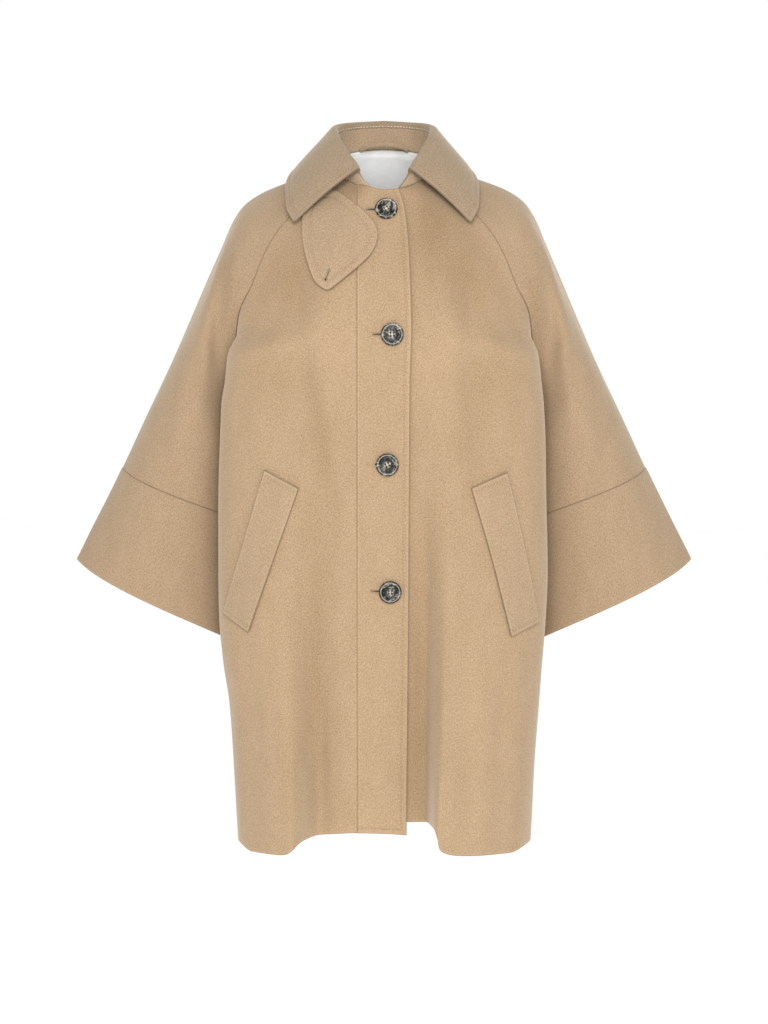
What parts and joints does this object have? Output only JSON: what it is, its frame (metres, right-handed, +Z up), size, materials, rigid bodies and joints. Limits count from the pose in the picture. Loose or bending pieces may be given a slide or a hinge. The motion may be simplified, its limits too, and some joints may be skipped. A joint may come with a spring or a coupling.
{
  "type": "coat",
  "caption": "Camel wool raglan car coat in worn, hollow shape, with shirt collar, throat tab, buttoned placket, deep cuff bands and slanted welt pockets.",
  "frame": {"origin": "middle of the neck, where the wearer's neck and shoulders carry the coat", "axes": "+Z up, the front faces -Y, the wearer's right is -X"},
  "size_m": [0.7992, 0.2969, 0.9317],
  "materials": {
    "camel_wool": "brushed",
    "lining_satin": "satin",
    "horn": "polished"
  },
  "bodies": {
    "root": {"back": "camel_wool", "back_lining": "lining_satin", "button_1": "horn", "button_2": "horn", "button_3": "horn", "button_4": "horn", "collar_leaf": "camel_wool", "collar_stand": "camel_wool", "cuff_left": "camel_wool", "cuff_right": "camel_wool", "front_left": "camel_wool", "front_placket": "camel_wool", "front_right": "camel_wool", "hanger_loop": "camel_wool", "pocket_welt_left": "camel_wool", "pocket_welt_right": "camel_wool", "sleeve_back_left": "camel_wool", "sleeve_back_right": "camel_wool", "sleeve_front_left": "camel_wool", "sleeve_front_right": "camel_wool", "throat_tab": "camel_wool"}
  },
  "joints": []
}
